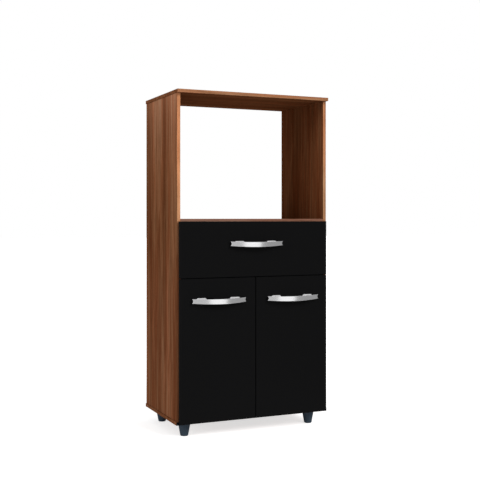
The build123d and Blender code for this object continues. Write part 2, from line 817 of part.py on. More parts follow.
with BuildPart() as right_door:
    with BuildSketch(Plane.XZ.offset(-front_back_face)):
        with Locations((door_middle, (door_bottom + door_top) / 2)):
            Rectangle(front_half_width - meeting_gap / 2, door_height)
    extrude(amount=board)
    for height in hinge_heights:
        with BuildSketch(cup_plane(height)):
            Circle(cup_radius)
        extrude(amount=-cup_depth, mode=Mode.SUBTRACT)
    add(right_cup_screws, mode=Mode.SUBTRACT)
    add(right_handle_screws, mode=Mode.SUBTRACT)
with BuildPart() as left_door:
    mirror(right_door.part, about=Plane.YZ)

link_angle = math.degrees(math.atan2(arm_pivot_depth - cup_pivot_depth, cup_pivot_edge - arm_pivot_edge))
link_reach = math.hypot(arm_pivot_depth - cup_pivot_depth, cup_pivot_edge - arm_pivot_edge)
link_middle = ((arm_pivot_edge + cup_pivot_edge) / 2, -(arm_pivot_depth + cup_pivot_depth) / 2)
link_start = nose_half_height + link_layer_gap
with BuildPart() as right_hinge_links:
    for height in hinge_heights:
        for side in (-1, 1):
            layer = hinge_plane(height).offset(side * (link_start + link_sheet / 2))
            with BuildSketch(layer):
                with Locations(Location(link_middle, link_angle)):
                    SlotCenterToCenter(link_reach, 2 * link_eye_radius)
                with Locations((arm_pivot_edge, -arm_pivot_depth), (cup_pivot_edge, -cup_pivot_depth)):
                    Circle(hinge_pin_radius + hinge_pin_clearance, mode=Mode.SUBTRACT)
            extrude(amount=link_sheet / 2, both=True)

arm_bottom = side_face + plate_thickness
arm_top = arm_bottom + arm_height
crank_edge = arm_pivot_edge + arm_crank_height
neck_edge = arm_pivot_edge + arm_neck_offset
plate_screw = countersunk_screw(
    plate_screw_length, runner_screw_radius, runner_screw_head, runner_screw_head - runner_screw_radius
)
plate_middle = carcass_front + plate_front_setback + plate_length / 2
plate_screw_planes = []
for height in hinge_heights:
    for pitch in (-plate_screw_pitch, plate_screw_pitch):
        plate_screw_planes.append(facing_out(side_inner - wing_thickness, plate_middle, height + pitch))
with BuildPart() as hinge_plate_screws:
    add(both_sides(placed(plate_screw, plate_screw_planes)))

with BuildPart() as right_hinge_plates:
    for height in hinge_heights:
        with BuildSketch(Plane(origin=(side_inner, plate_middle, height), x_dir=(0, 1, 0), z_dir=(-1, 0, 0))):
            Rectangle(plate_length, 2 * plate_half_height)
        extrude(amount=plate_thickness)
        with BuildSketch(Plane(origin=(side_inner, plate_middle, height), x_dir=(0, 1, 0), z_dir=(-1, 0, 0))):
            RectangleRounded(plate_wing_width, 2 * plate_wing_half_height, plate_corner)
        extrude(amount=wing_thickness)
    add(hinge_plate_screws.part, mode=Mode.SUBTRACT)

with BuildPart() as right_hinge_arms:
    for height in hinge_heights:
        with BuildSketch(hinge_plane(height)):
            with BuildLine():
                Polyline(
                    (arm_pivot_edge, -arm_pivot_depth - nose_eye_radius),
                    (crank_edge - arm_crank_back, -arm_crank_front),
                    (crank_edge, nose_eye_radius - arm_crank_front), (crank_edge, arm_crank_back),
                    (arm_top, arm_front), (arm_top, arm_front + arm_overlap),
                    (arm_bottom, arm_front + arm_overlap), (arm_bottom, arm_front - arm_overlap / 2),
                    (neck_edge, arm_overlap / 2), (neck_edge, -arm_neck_front),
                    (arm_pivot_edge, nose_eye_radius - arm_pivot_depth), close=True,
                )
            make_face()
            with Locations((arm_pivot_edge, -arm_pivot_depth)):
                Circle(nose_eye_radius)
        extrude(amount=nose_half_height, both=True)
        with BuildSketch(hinge_plane(height)):
            with Locations(((arm_bottom + arm_top) / 2, arm_front + arm_length / 2)):
                Rectangle(arm_height, arm_length)
        extrude(amount=arm_half_height, both=True)
        with BuildSketch(hinge_plane(height)):
            with Locations((arm_pivot_edge, -arm_pivot_depth)):
                Circle(hinge_pin_radius)
        extrude(amount=link_start + link_sheet + link_layer_gap, both=True)
with BuildPart() as left_hinge_arms:
    mirror(right_hinge_arms.part, about=Plane.YZ)

# Sides, with the holes of everything that is fastened to them
side_fasteners = [
    panel_screws.part, dowels.part, cam_bolts.part, shelf_pins.part, back_panel_nails.part,
    runner_screws.part, hinge_plate_screws.part,
]
with BuildPart() as right_side:
    with BuildSketch(Plane.YZ.offset(side_inner)):
        with Locations(((carcass_front + carcass_back) / 2, (base_top + side_top) / 2)):
            Rectangle(side_depth, side_height)
    extrude(amount=board)
    for fastener in side_fasteners:
        add(fastener, mode=Mode.SUBTRACT)
with BuildPart() as left_side:
    mirror(right_side.part, about=Plane.YZ)

pieces = {
    "top_panel": top_panel.part,
    "left_side": left_side.part,
    "right_side": right_side.part,
    "niche_shelf": niche_shelf.part,
    "front_rail": front_rail.part,
    "bottom_panel": bottom_panel.part,
    "back_panel": back_panel.part,
    "inner_shelf": inner_shelf.part,
    "shelf_pins": shelf_pins.part,
    "foot_screws": foot_screws.part,
    "panel_screws": panel_screws.part,
    "top_screw_caps": top_screw_caps.part,
    "dowels": dowels.part,
    "cam_bolts": cam_bolts.part,
    "cams": cams.part,
    "back_panel_nails": back_panel_nails.part,
    "left_cabinet_runner": left_cabinet_runner.part,
    "right_cabinet_runner": right_cabinet_runner.part,
    "runner_screws": runner_screws.part,
    "cabinet_roller_rivets": cabinet_rivets.part,
    "cabinet_rollers": cabinet_rollers.part,
    "drawer_rollers": drawer_rollers.part,
    "drawer_roller_rivets": drawer_rivets.part,
    "left_drawer_runner": left_drawer_runner.part,
    "right_drawer_runner": right_drawer_runner.part,
    "drawer_runner_screws": drawer_runner_screws.part,
    "drawer_front": drawer_front.part,
    "drawer_left_side": drawer_left_side.part,
    "drawer_right_side": drawer_right_side.part,
    "drawer_back": drawer_back.part,
    "drawer_bottom": drawer_bottom.part,
    "drawer_cams": drawer_cams.part,
    "drawer_cam_bolts": drawer_cam_bolts.part,
    "drawer_back_screws": drawer_back_screws.part,
    "drawer_bottom_nails": drawer_bottom_nails.part,
    "drawer_handle": drawer_handle,
    "drawer_handle_screws": drawer_handle_screws,
    "left_door": left_door.part,
    "right_door": right_door.part,
    "left_door_handle": mirror(right_door_handle, about=Plane.YZ),
    "right_door_handle": right_door_handle,
    "left_door_handle_screws": mirror(right_handle_screws, about=Plane.YZ),
    "right_door_handle_screws": right_handle_screws,
    "left_hinge_cups": mirror(right_hinge_cups.part, about=Plane.YZ),
    "right_hinge_cups": right_hinge_cups.part,
    "left_cup_screws": mirror(right_cup_screws, about=Plane.YZ),
    "right_cup_screws": right_cup_screws,
    "left_hinge_links": mirror(right_hinge_links.part, about=Plane.YZ),
    "right_hinge_links": right_hinge_links.part,
    "left_hinge_arms": left_hinge_arms.part,
    "right_hinge_arms": right_hinge_arms.part,
    "left_hinge_plates": mirror(right_hinge_plates.part, about=Plane.YZ),
    "right_hinge_plates": right_hinge_plates.part,
    "hinge_plate_screws": hinge_plate_screws.part,
}
for standing in feet:
    pieces[standing.label] = standing

os.makedirs("parts", exist_ok=True)
for name, piece in pieces.items():
    piece.label = name
    export_step(piece, f"parts/{name}.step")
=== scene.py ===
"""Looks of a microwave cabinet: walnut boards, black fronts, bow handles and the fittings inside.

Lengths are metres in the part's own frame: +Z is up and the fronts face -Y.
"""

import json
import logging
import math
from collections.abc import Sequence
from dataclasses import dataclass, field
from enum import Enum
from functools import cache

import bmesh
import bpy
import numpy as np
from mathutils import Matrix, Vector


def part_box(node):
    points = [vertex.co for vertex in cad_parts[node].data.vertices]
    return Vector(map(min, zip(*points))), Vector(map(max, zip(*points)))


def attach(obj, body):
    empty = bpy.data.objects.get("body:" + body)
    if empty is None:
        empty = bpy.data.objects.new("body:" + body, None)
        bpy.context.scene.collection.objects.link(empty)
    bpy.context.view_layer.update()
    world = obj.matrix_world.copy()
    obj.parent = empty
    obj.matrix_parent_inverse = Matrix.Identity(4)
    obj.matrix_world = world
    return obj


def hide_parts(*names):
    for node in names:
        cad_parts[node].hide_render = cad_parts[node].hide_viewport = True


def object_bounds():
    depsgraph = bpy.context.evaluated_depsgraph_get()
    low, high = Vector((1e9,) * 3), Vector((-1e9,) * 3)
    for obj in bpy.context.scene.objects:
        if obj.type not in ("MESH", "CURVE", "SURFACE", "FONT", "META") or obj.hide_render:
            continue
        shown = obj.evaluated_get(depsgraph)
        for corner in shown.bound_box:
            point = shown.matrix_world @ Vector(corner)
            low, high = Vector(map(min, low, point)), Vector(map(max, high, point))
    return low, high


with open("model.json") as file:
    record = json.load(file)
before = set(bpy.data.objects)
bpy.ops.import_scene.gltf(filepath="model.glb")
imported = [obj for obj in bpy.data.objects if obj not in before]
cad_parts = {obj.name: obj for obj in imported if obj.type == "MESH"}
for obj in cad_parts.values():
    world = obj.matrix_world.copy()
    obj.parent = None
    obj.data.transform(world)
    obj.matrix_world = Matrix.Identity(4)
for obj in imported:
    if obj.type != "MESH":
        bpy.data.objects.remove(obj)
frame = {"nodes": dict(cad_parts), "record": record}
cad_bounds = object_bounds()

log = logging.getLogger("microwave_cabinet")

Place = tuple[float, float, float]
Colour = tuple[float, float, float]
Stops = tuple[tuple[float, Colour], ...]
Socket = bpy.types.NodeSocket

NODES = frame["nodes"]
RECORD = frame["record"]
BODY_OF = {node: body for body, nodes in RECORD["behaviour"]["bodies"].items() for node in nodes}
SLOT_OF = {part["node"]: part["material_slot"] for part in RECORD["subparts"]}
TOP = cad_bounds[1][2]
FRONTS_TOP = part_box("drawer_front")[1].z

# The factor on a pattern's coordinates along the grain, which draws it out
ALONG_GRAIN = 0.035


class Grain(Enum):
    """The way a board's grain runs, as factors on its pattern's coordinates."""

    UP = (1.0, 1.0, ALONG_GRAIN)
    ACROSS = (ALONG_GRAIN, 1.0, 1.0)
    BACK = (1.0, ALONG_GRAIN, 1.0)


class Side(Enum):
    """A side of a board, as the direction that its faces look in."""

    FRONT = (0, -1, 0)
    BACK = (0, 1, 0)
    TOP = (0, 0, 1)
    LEFT = (-1, 0, 0)
    RIGHT = (1, 0, 0)
    BOTTOM = (0, 0, -1)


# Finishes


# The middle of a noise's values
NOISE_MIDDLE = 0.5

# The numbers of the Mix node's colour sockets, which share their names with its other sockets
MIX_SHARE, MIX_FIRST, MIX_SECOND, MIX_RESULT = 0, 6, 7, 2


@dataclass(frozen=True)
class Layer:
    """Noise shown in colours.

    Its scale is in cells per metre, its detail in octaves, and rough says how strong the fine octaves are.
    """

    scale: float
    detail: float
    rough: float
    stops: Stops


class NodeSheet:
    """The nodes of a material or of the world, added one at a time."""

    def __init__(self, owner: bpy.types.Material | bpy.types.World) -> None:
        """Open the owner's nodes.

        Args:
            owner: the material or the world.
        """
        owner.use_nodes = True
        self.nodes = owner.node_tree.nodes
        self.links = owner.node_tree.links

    def add(self, kind: str, inputs: dict | None = None, **settings: str) -> bpy.types.Node:
        """Add a node.

        Args:
            kind: Blender's name for the node's type.
            inputs: values or output sockets for its inputs, by name or number.
            settings: values for the node's own properties.

        Returns:
            The new node.
        """
        node = self.nodes.new(kind)
        for key, value in settings.items():
            setattr(node, key, value)
        self.feed(node, inputs or {})
        return node

    def feed(self, node: bpy.types.Node, inputs: dict) -> None:
        """Give a node's inputs their values or links.

        Args:
            node: the node to feed.
            inputs: values or output sockets, by the input's name or number.
        """
        for key, value in inputs.items():
            if isinstance(value, Socket):
                self.links.new(value, node.inputs[key])
            else:
                node.inputs[key].default_value = value

    def shade(self, inputs: dict) -> None:
        """Give the Principled shader's inputs their values or links."""
        self.feed(self.nodes["Principled BSDF"], inputs)

    def place(self) -> Socket:
        """The coordinates of a point on the object, in metres."""
        return self.add("ShaderNodeTexCoord").outputs["Object"]

    def stretched(self, factors: Sequence[float]) -> Socket:
        """The coordinates of a point on the object, each times its own factor."""
        return self.add("ShaderNodeMapping", {"Vector": self.place(), "Scale": factors}).outputs[0]

    def noise(self, place: Socket, scale: float, detail: float, rough: float = 0.5) -> Socket:
        """Noise at given coordinates.

        Args:
            place: the coordinates.
            scale: cells per metre.
            detail: octaves.
            rough: how strong the fine octaves are.

        Returns:
            The socket that carries the value.
        """
        inputs = {"Vector": place, "Scale": scale, "Detail": detail, "Roughness": rough}
        return self.add("ShaderNodeTexNoise", inputs).outputs[0]

    def ramp(self, value: Socket, stops: Stops) -> Socket:
        """Colours along a value.

        Args:
            value: the value, from 0 to 1.
            stops: places and colours.

        Returns:
            The colour socket.
        """
        node = self.add("ShaderNodeValToRGB", {0: value})
        elements = node.color_ramp.elements
        for element, (place, colour) in zip(elements, (stops[0], stops[-1])):
            element.position = place
            element.color = (*colour, 1.0)
        for place, colour in stops[1:-1]:
            elements.new(place).color = (*colour, 1.0)
        return node.outputs[0]

    def layer(self, place: Socket, layer: Layer) -> Socket:
        """The colours of a layer's noise at given coordinates."""
        return self.ramp(self.noise(place, layer.scale, layer.detail, layer.rough), layer.stops)

    def multiplied(self, first: Socket, second: Socket) -> Socket:
        """Two colours multiplied.

        Args:
            first: one colour.
            second: the other colour.

        Returns:
            The colour socket.
        """
        inputs = {MIX_SHARE: 1.0, MIX_FIRST: first, MIX_SECOND: second}
        node = self.add("ShaderNodeMix", inputs, data_type="RGBA", blend_type="MULTIPLY")
        return node.outputs[MIX_RESULT]


@dataclass(frozen=True)
class Finish:
    """A plain finish: one colour and one gloss."""

    name: str
    colour: Colour
    roughness: float = 0.5
    metallic: float = 0.0
    specular: float = 0.5

    @cache
    def material(self) -> bpy.types.Material:
        """Make the finish's material, the first time that it is asked for.

        Returns:
            The material.
        """
        material = bpy.data.materials.new(self.name)
        sheet = NodeSheet(material)
        sheet.shade({
            "Base Color": (*self.colour, 1.0), "Roughness": self.roughness, "Metallic": self.metallic,
            "Specular IOR Level": self.specular,
        })
        self.paint(sheet)
        return material

    def paint(self, sheet: NodeSheet) -> None:
        """Add what varies over the surface, which is nothing on a plain finish."""


@dataclass(frozen=True)
class WalnutLaminate(Finish):
    """Printed walnut, quite matt: broad bands, fine streaks and short dark pores along the grain.

    The dark and the light wood lie band_reach from the middle of the bands' noise, heights are painted
    light and shade that the wood takes at given heights, and the pores sink in as a faint relief. Its plain
    colour is an average of the wood, which the pattern covers.
    """

    roughness: float = 0.6
    specular: float = 0.0
    grain: Grain = Grain.UP
    dark: Colour = (0.128, 0.044, 0.0175)
    middle: Colour = (0.200, 0.076, 0.0330)
    light: Colour = (0.300, 0.128, 0.0620)
    heights: Stops = ()
    band_scale: float = 16.0
    band_detail: float = 6.0
    band_rough: float = 0.8
    band_reach: float = 0.14
    streaks: Layer = Layer(170.0, 3.0, 0.6, ((0.34, (0.75, 0.72, 0.69)), (0.66, (1.20, 1.21, 1.22))))
    hues: Layer = Layer(64.0, 1.0, 0.5, ((0.38, (1.06, 0.96, 0.91)), (0.62, (0.95, 1.03, 1.05))))
    pores: Layer = Layer(900.0, 2.0, 0.5, ((0.30, (0.72, 0.68, 0.66)), (0.42, (1.0, 1.0, 1.0))))
    pore_shortening: float = 2.2
    sway: float = 0.02
    sway_scale: float = 2.0
    sway_detail: float = 2.0
    relief_strength: float = 0.05
    relief_depth: float = 0.0002

    def paint(self, sheet: NodeSheet) -> None:
        """Lay bands, streaks, hues, pores and any painted light and shade over each other, along a swaying
        grain.

        Args:
            sheet: the material's nodes.
        """
        along = self.swaying(sheet)
        shorter = [min(1.0, self.pore_shortening * factor) for factor in self.grain.value]
        pores = sheet.layer(sheet.stretched(shorter), self.pores)
        wood = sheet.multiplied(sheet.layer(along, self.bands()), sheet.layer(along, self.streaks))
        colour = sheet.multiplied(wood, sheet.multiplied(pores, sheet.layer(along, self.hues)))
        # Painted light and shade by height, where the finish has any
        if self.heights:
            colour = sheet.multiplied(colour, self.tone(sheet))
        relief = {"Strength": self.relief_strength, "Distance": self.relief_depth, "Height": pores}
        sheet.shade({"Base Color": colour, "Normal": sheet.add("ShaderNodeBump", relief).outputs[0]})

    def swaying(self, sheet: NodeSheet) -> Socket:
        """Coordinates stretched along the grain, plus a small share of a wide noise.

        Args:
            sheet: the material's nodes.

        Returns:
            The coordinates' socket.
        """
        moved = sheet.noise(sheet.place(), self.sway_scale, self.sway_detail)
        inputs = {0: moved, 1: [self.sway] * 3, 2: sheet.stretched(self.grain.value)}
        return sheet.add("ShaderNodeVectorMath", inputs, operation="MULTIPLY_ADD").outputs[0]

    def bands(self) -> Layer:
        """The broad bands: the dark, middle and light wood round the middle of their noise.

        Returns:
            The layer.
        """
        low, high = NOISE_MIDDLE - self.band_reach, NOISE_MIDDLE + self.band_reach
        stops = (low, self.dark), (NOISE_MIDDLE, self.middle), (high, self.light)
        return Layer(self.band_scale, self.band_detail, self.band_rough, stops)

    def tone(self, sheet: NodeSheet) -> Socket:
        """The painted light and shade at a point's height, which is taken as a share of the cabinet's
        height.

        Args:
            sheet: the material's nodes.

        Returns:
            The colour socket.
        """
        height = sheet.add("ShaderNodeSeparateXYZ", {0: sheet.place()}).outputs[2]
        share = sheet.add("ShaderNodeMath", {0: height, 1: TOP}, operation="DIVIDE").outputs[0]
        return sheet.ramp(share, tuple((place / TOP, tone) for place, tone in self.heights))


@dataclass(frozen=True)
class Mottled(Finish):
    """A finish whose colour wanders between two tones, such as hardboard or particle board.

    The tones lie reach from the middle of the noise.
    """

    second: Colour = (0.2, 0.2, 0.2)
    scale: float = 300.0
    detail: float = 4.0
    rough: float = 0.6
    reach: float = 0.15

    def paint(self, sheet: NodeSheet) -> None:
        """Mix the two tones by noise.

        Args:
            sheet: the material's nodes.
        """
        stops = (NOISE_MIDDLE - self.reach, self.colour), (NOISE_MIDDLE + self.reach, self.second)
        colour = sheet.layer(sheet.place(), Layer(self.scale, self.detail, self.rough, stops))
        sheet.shade({"Base Color": colour})


@dataclass(frozen=True)
class BrushedChrome(Finish):
    """Metallised plastic with fine lines along X."""

    line_scale: float = 700.0
    line_detail: float = 2.0
    line_stretch: float = 0.01
    line_depth: float = 0.06

    def paint(self, sheet: NodeSheet) -> None:
        """Vary the roughness in lines.

        Args:
            sheet: the material's nodes.
        """
        along = sheet.stretched((self.line_stretch, 1.0, 1.0))
        lines = sheet.noise(along, self.line_scale, self.line_detail)
        limits = {"To Min": self.roughness - self.line_depth, "To Max": self.roughness + self.line_depth}
        rough = sheet.add("ShaderNodeMapRange", {"Value": lines, **limits})
        sheet.shade({"Roughness": rough.outputs[0]})


# How far below and above the drawer front's top the painted shade on a side's front edge turns
TURN_BELOW, TURN_ABOVE = 0.002, 0.001


def shaded_beside_fronts(shaded: Colour, above: Colour) -> Stops:
    """Painted shade on a side's front edge, which ends where the drawer front ends below the open niche.

    Args:
        shaded: the painted shade beside the doors and the drawer front.
        above: the tone above them.

    Returns:
        Heights and tones.
    """
    return (FRONTS_TOP - TURN_BELOW, shaded), (FRONTS_TOP + TURN_ABOVE, above)


# Painted light and shade on the sides by height: painted shade darkest just below the niche, and a painted
# sheen that pales them most at the top
SIDE_PAINTED_LIGHT = (
    (0.0, (0.97, 0.97, 1.0)), (0.21, (0.94, 0.95, 1.0)), (0.45, (0.88, 0.87, 0.90)),
    (0.74, (0.85, 0.84, 0.82)), (0.96, (1.04, 1.06, 1.08)), (1.08, (1.16, 1.22, 1.32)),
    (TOP, (1.66, 1.85, 2.20)),
)
# Painted shade on the sides' front edges beside the fronts; the right edge also has a lighter painted shade
# above them
LEFT_BAND_PAINTED_SHADE = shaded_beside_fronts((0.38, 0.34, 0.34), (1.0, 1.0, 1.0))
RIGHT_BAND_PAINTED_SHADE = shaded_beside_fronts((0.14, 0.11, 0.10), (0.84, 0.9, 0.95))

# Painted shade: darker copies of the walnut for the sides' inner faces and the top's underside,
# and the paler tones of the sides' front edges
INNER_PAINTED_SHADE = {"dark": (0.112, 0.036, 0.0130), "middle": (0.152, 0.052, 0.0200), "light": (0.205, 0.076, 0.0320)}
BAND = {"dark": (0.455, 0.182, 0.080), "middle": (0.530, 0.228, 0.106), "light": (0.605, 0.285, 0.142)}

# The sides' outer faces, with the painted light and shade by height
WALNUT_UP = WalnutLaminate("walnut_upright", (0.2, 0.08, 0.04), heights=SIDE_PAINTED_LIGHT)
WALNUT_ACROSS = WalnutLaminate("walnut_across", (0.2, 0.08, 0.04), grain=Grain.ACROSS)
WALNUT_BACK = WalnutLaminate("walnut_front_to_back", (0.2, 0.08, 0.04), grain=Grain.BACK)
# Painted shade: the walnut darkened for the sides' inner faces and the top's underside
SHADED_WALNUT_UP = WalnutLaminate("walnut_upright_painted_shade", (0.15, 0.05, 0.02), **INNER_PAINTED_SHADE)
SHADED_WALNUT_ACROSS = WalnutLaminate("walnut_across_painted_shade", (0.15, 0.05, 0.02), grain=Grain.ACROSS, **INNER_PAINTED_SHADE)
# The sides' front edges, with their painted shade by height
BAND_LEFT = WalnutLaminate("edge_band_left", (0.5, 0.22, 0.10), heights=LEFT_BAND_PAINTED_SHADE, **BAND)
BAND_RIGHT = WalnutLaminate("edge_band_right", (0.45, 0.2, 0.10), heights=RIGHT_BAND_PAINTED_SHADE, **BAND)
# The shelf's front edge, darker and greyer than the sides' edges: a painted shade
BAND_SHELF = WalnutLaminate(
    "edge_band_shelf", (0.25, 0.14, 0.09), grain=Grain.ACROSS,
    dark=(0.22, 0.11, 0.07), middle=(0.27, 0.14, 0.10), light=(0.32, 0.18, 0.13),
)
# The top's front edge, darker than the sides' edges: its own tone with some painted shade in it
BAND_TOP = WalnutLaminate(
    "edge_band_top", (0.36, 0.17, 0.09), grain=Grain.ACROSS,
    dark=(0.28, 0.12, 0.055), middle=(0.35, 0.16, 0.08), light=(0.42, 0.20, 0.11),
)
PARTICLE_BOARD = Mottled(
    "bare_particle_board", (0.42, 0.29, 0.17), 0.85, specular=0.2, second=(0.62, 0.47, 0.31)
)
HARDBOARD = Mottled(
    "brown_hardboard", (0.21, 0.12, 0.065), 0.6, specular=0.25, second=(0.27, 0.165, 0.095), scale=500.0
)
BLACK_LAMINATE = Finish("black_laminate", (0.0048, 0.0048, 0.0050), 0.42, specular=0.03)
SATIN_SILVER = Finish("satin_silver_plastic", (0.84, 0.84, 0.85), 0.34)
CHROME_LOOK = BrushedChrome("chrome_look_plastic", (0.91, 0.91, 0.92), 0.17, metallic=1.0)
ZINC_PLATE = Finish("zinc_plate", (0.62, 0.62, 0.61), 0.32, metallic=1.0)
DIE_CAST = Finish("dull_cast_zinc", (0.48, 0.48, 0.49), 0.5, metallic=1.0)
WHITE_EPOXY = Finish("white_epoxy_paint", (0.80, 0.80, 0.78), 0.38)
NYLON = Finish("moulded_nylon", (0.78, 0.78, 0.74), 0.5, specular=0.4)
FOOT_PLASTIC = Finish("blue_black_plastic", (0.041, 0.060, 0.082), 0.5, specular=0.05)
CAP_PLASTIC = Finish("walnut_cap", (0.15, 0.064, 0.034), 0.5, specular=0.3)
BEECH = Finish("beech_dowel", (0.55, 0.36, 0.2), 0.7, specular=0.2)


# Meshes


# Corners, faces of four corner numbers each, and the finish of one closed surface
Grid = tuple[np.ndarray, np.ndarray, Finish]

# How near corners are merged, on a new piece and on a copy of a CAD node, and how short an edge is dropped
MERGE_NEW = 2e-6
MERGE_COPY = 5e-6
DROP_EDGE = 1e-7


def linked(name: str, data: bpy.types.ID) -> bpy.types.Object:
    """An object for a mesh, a light or a camera, linked into the scene at the origin.

    Args:
        name: the object's name.
        data: what it shows.

    Returns:
        The new object.
    """
    made = bpy.data.objects.new(name, data)
    bpy.context.collection.objects.link(made)
    return made


def side_by_side(*columns: np.ndarray | float) -> np.ndarray:
    """Values side by side along a new last axis, each spread to the shape of them all."""
    return np.stack(np.broadcast_arrays(*columns), axis=-1)


def finished(name: str, grids: Sequence[Grid], sharp: float) -> bpy.types.Object:
    """Make a piece from grids, with its doubles merged and its faces outward.

    Args:
        name: the piece's name.
        grids: the surfaces that it is made of.
        sharp: the angle in degrees past which an edge is shaded sharp.

    Returns:
        The new object, at the origin.
    """
    starts = np.cumsum([0] + [len(verts) for verts, _, _ in grids[:-1]])
    verts = np.concatenate([verts for verts, _, _ in grids])
    faces = np.concatenate([faces + start for (_, faces, _), start in zip(grids, starts)])
    finishes = list(dict.fromkeys(finish for _, _, finish in grids))
    counts = [len(faces) for _, faces, _ in grids]
    kinds = np.repeat([finishes.index(finish) for _, _, finish in grids], counts)
    mesh = bpy.data.meshes.new(name)
    mesh.from_pydata(verts.tolist(), [], faces.tolist())
    for finish in finishes:
        mesh.materials.append(finish.material())
    mesh.polygons.foreach_set("material_index", kinds.astype(np.int32))
    shape = bmesh.new()
    shape.from_mesh(mesh)
    bmesh.ops.remove_doubles(shape, verts=shape.verts, dist=MERGE_NEW)
    bmesh.ops.dissolve_degenerate(shape, edges=shape.edges, dist=DROP_EDGE)
    bmesh.ops.recalc_face_normals(shape, faces=shape.faces)
    shape.to_mesh(mesh)
    shape.free()
    mesh.shade_smooth()
    mesh.set_sharp_from_angle(angle=math.radians(sharp))
    return linked(name, mesh)


def grid_faces(rings: int, around: int, closed: bool = True) -> np.ndarray:
    """Quads between rings of points.

    Args:
        rings: how many rings there are.
        around: how many points each ring has.
        closed: whether each ring's last point joins its first.

    Returns:
        Four corner numbers a face.
    """
    ring = np.arange(rings - 1)[:, None] * around
    step = np.arange(around if closed else around - 1)[None, :]
    after = (step + 1) % around
    corners = side_by_side(ring + step, ring + after, ring + around + after, ring + around + step)
    return corners.reshape(-1, 4)


def turned(profile: np.ndarray, centre: Place, steps: int) -> tuple[np.ndarray, np.ndarray]:
    """A profile of (radius r, height h) turned about an upright axis.

    Its points are (r cos a, r sin a, h) for a from 0 to a full turn.

    Args:
        profile: the profile's points in order.
        centre: where the axis stands.
        steps: how many steps a turn has.

    Returns:
        Corners and faces.
    """
    radius, height = profile.T[..., None]
    angle = np.linspace(0.0, 2 * np.pi, steps, endpoint=False)
    points = side_by_side(radius * np.cos(angle), radius * np.sin(angle), height) + np.array(centre)
    return points.reshape(-1, 3), grid_faces(len(profile), steps)


def rounded(points: Sequence[tuple[float, float]], radii: Sequence[float], steps: int) -> np.ndarray:
    """A line with its corners rounded, each by a curve that starts and ends one radius from the corner.

    Each corner's points are (1-t)^2 A + 2t(1-t) C + t^2 B for t from 0 to 1, where C is the corner and
    A and B lie on its two sides.

    Args:
        points: the corners in order.
        radii: the rounding of each corner, 0 to keep it.
        steps: how many steps a rounding has.

    Returns:
        The rounded line's points, one row each.
    """
    line = np.array(points, float)
    share = np.linspace(0.0, 1.0, steps + 1)[:, None]
    made: list[np.ndarray] = []
    for number, (corner, radius) in enumerate(zip(line, radii)):
        if radius == 0:
            made.append(corner[None])
            continue
        before, after = line[number - 1] - corner, line[(number + 1) % len(line)] - corner
        start = corner + before / np.linalg.norm(before) * radius
        end = corner + after / np.linalg.norm(after) * radius
        made.append((1 - share) ** 2 * start + 2 * share * (1 - share) * corner + share**2 * end)
    return np.concatenate(made)


def values_of(items: bpy.types.bpy_prop_collection, key: str, width: int, kind: type = float) -> np.ndarray:
    """One value of each vertex, edge or face of a mesh.

    Args:
        items: the mesh's vertices, edges or polygons.
        key: the value's name.
        width: how many numbers it has.
        kind: the numbers' type.

    Returns:
        One row for each item.
    """
    values = np.empty(len(items) * width, kind)
    items.foreach_get(key, values)
    return values.reshape(-1, width)


def seated(piece: bpy.types.Object, node: str) -> bpy.types.Object:
    """Let a piece stand for a CAD node and ride on its body.

    Args:
        piece: the dressed piece.
        node: the CAD node that it stands for.

    Returns:
        The same piece.
    """
    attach(piece, BODY_OF[node])
    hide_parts(node)
    log.info("%s on %s: %d faces", piece.name, BODY_OF[node], len(piece.data.polygons))
    return piece


def welded_copy(node: str, name: str) -> bpy.types.Object:
    """A copy of a CAD node's mesh, shaded flat, with its doubles merged.

    Args:
        node: the CAD node.
        name: the new piece's name.

    Returns:
        The copy, at the origin.
    """
    mesh = NODES[node].data.copy()
    mesh.name = name
    mesh.materials.clear()
    shape = bmesh.new()
    shape.from_mesh(mesh)
    bmesh.ops.remove_doubles(shape, verts=shape.verts, dist=MERGE_COPY)
    shape.to_mesh(mesh)
    shape.free()
    stored = mesh.attributes.get("custom_normal")
    if stored:
        mesh.attributes.remove(stored)
    mesh.shade_flat()
    return linked(name, mesh)


# Sub-assemblies


